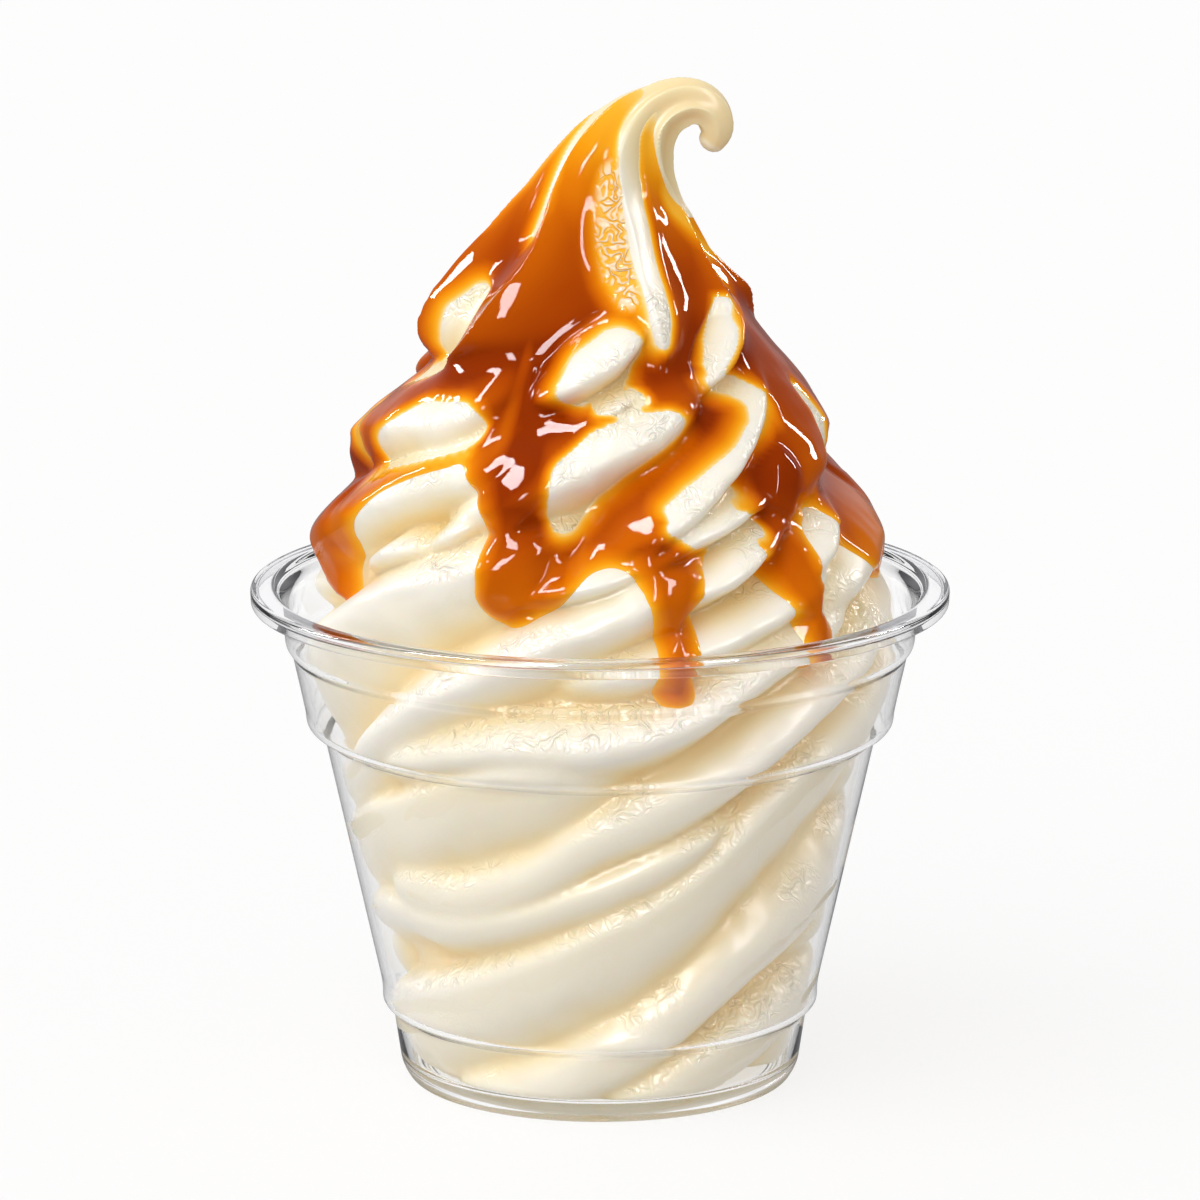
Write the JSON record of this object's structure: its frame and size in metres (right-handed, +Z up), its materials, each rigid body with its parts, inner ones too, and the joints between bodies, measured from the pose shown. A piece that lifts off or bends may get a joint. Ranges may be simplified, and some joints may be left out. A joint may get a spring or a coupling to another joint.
{
  "type": "soft serve sundae",
  "caption": "Swirled vanilla soft serve with caramel sauce and a curled tip, standing in a clear tapered dessert cup.",
  "frame": {"origin": "centre of the cup's foot ring, on the surface that the cup stands on", "axes": "+Z up along the cup's axis; -Y is the front that the picture shows; the curled tip points to +X"},
  "size_m": [0.092, 0.092, 0.1337],
  "materials": {
    "clear_plastic": "clear thermoformed plastic, smooth and glossy",
    "vanilla_cream": "vanilla soft serve, satin, softly translucent with a fine wrinkled skin",
    "caramel_sauce": "caramel sauce, wet gloss, amber where thin and brown-orange where thick"
  },
  "bodies": {
    "root": {"cup": "clear_plastic", "soft_serve": "vanilla_cream"}
  },
  "joints": []
}
